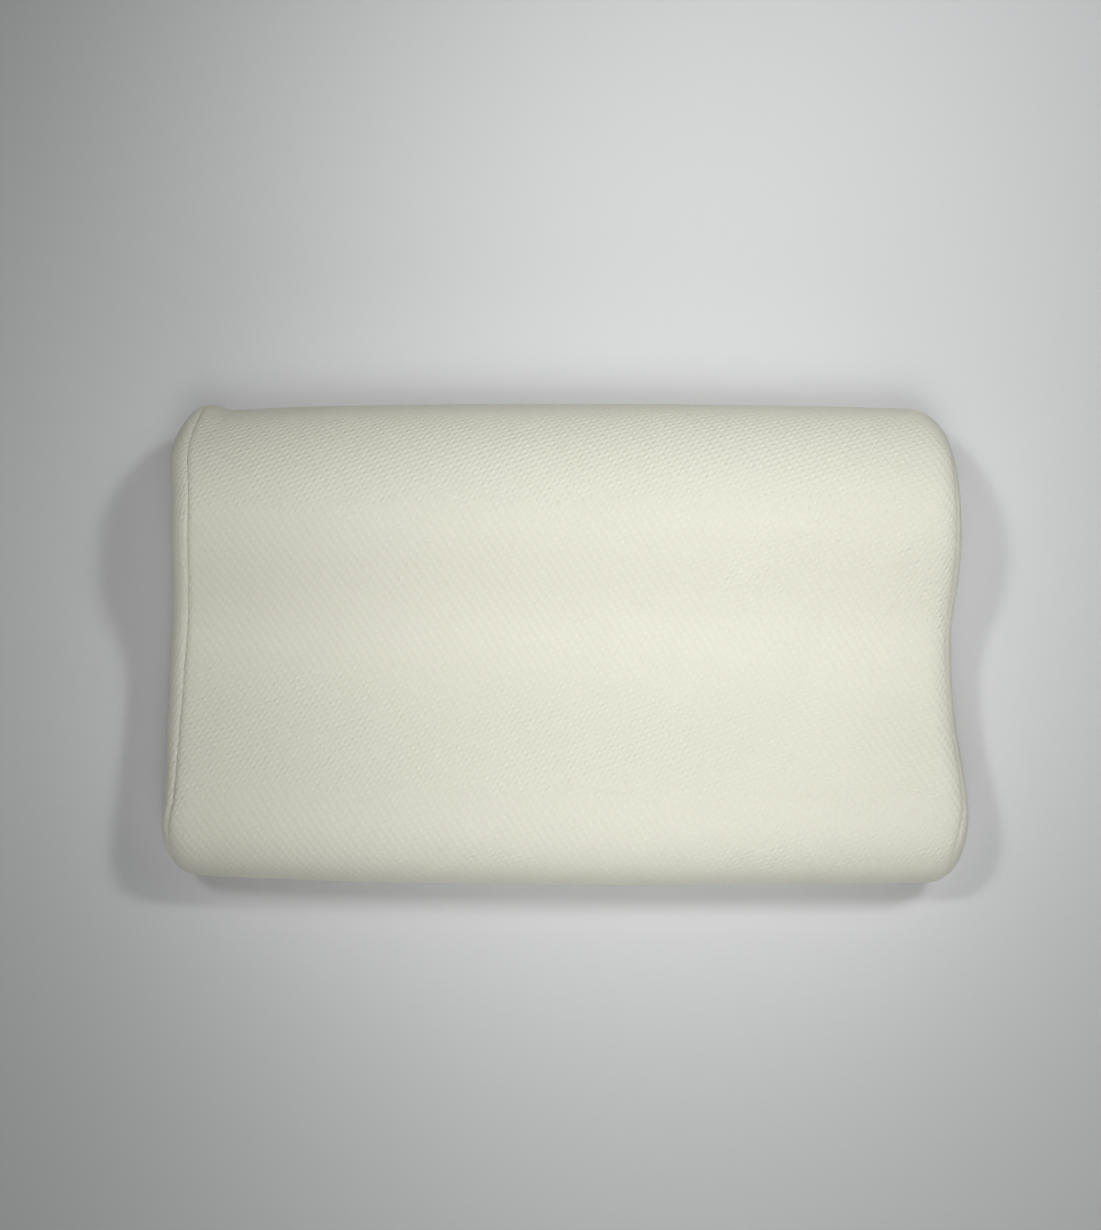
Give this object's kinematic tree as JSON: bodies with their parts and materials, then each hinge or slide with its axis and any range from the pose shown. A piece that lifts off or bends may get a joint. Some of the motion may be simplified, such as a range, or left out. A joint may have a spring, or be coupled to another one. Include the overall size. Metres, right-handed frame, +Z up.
{
  "type": "memory foam contour pillow",
  "caption": "Contour pillow with a high lobe, a hollow for the head and a low lobe, in a puff-knit cover with wave-shaped end panels, lying on its flat back.",
  "frame": {"origin": "the middle of the pillow's box, on the surface that its flat back lies on", "axes": "+X along the pillow's length, +Y across it towards the high lobe, +Z up out of its wavy face"},
  "size_m": [0.5007, 0.304, 0.1001],
  "materials": {
    "wrap_knit": "ivory double-knit with small all-over puffs, matt",
    "end_knit": "the same ivory puff knit on the sewn end panels, matt"
  },
  "bodies": {
    "root": {"pillow_body": "wrap_knit", "end_panel_left": "end_knit", "end_panel_right": "end_knit"}
  },
  "joints": []
}
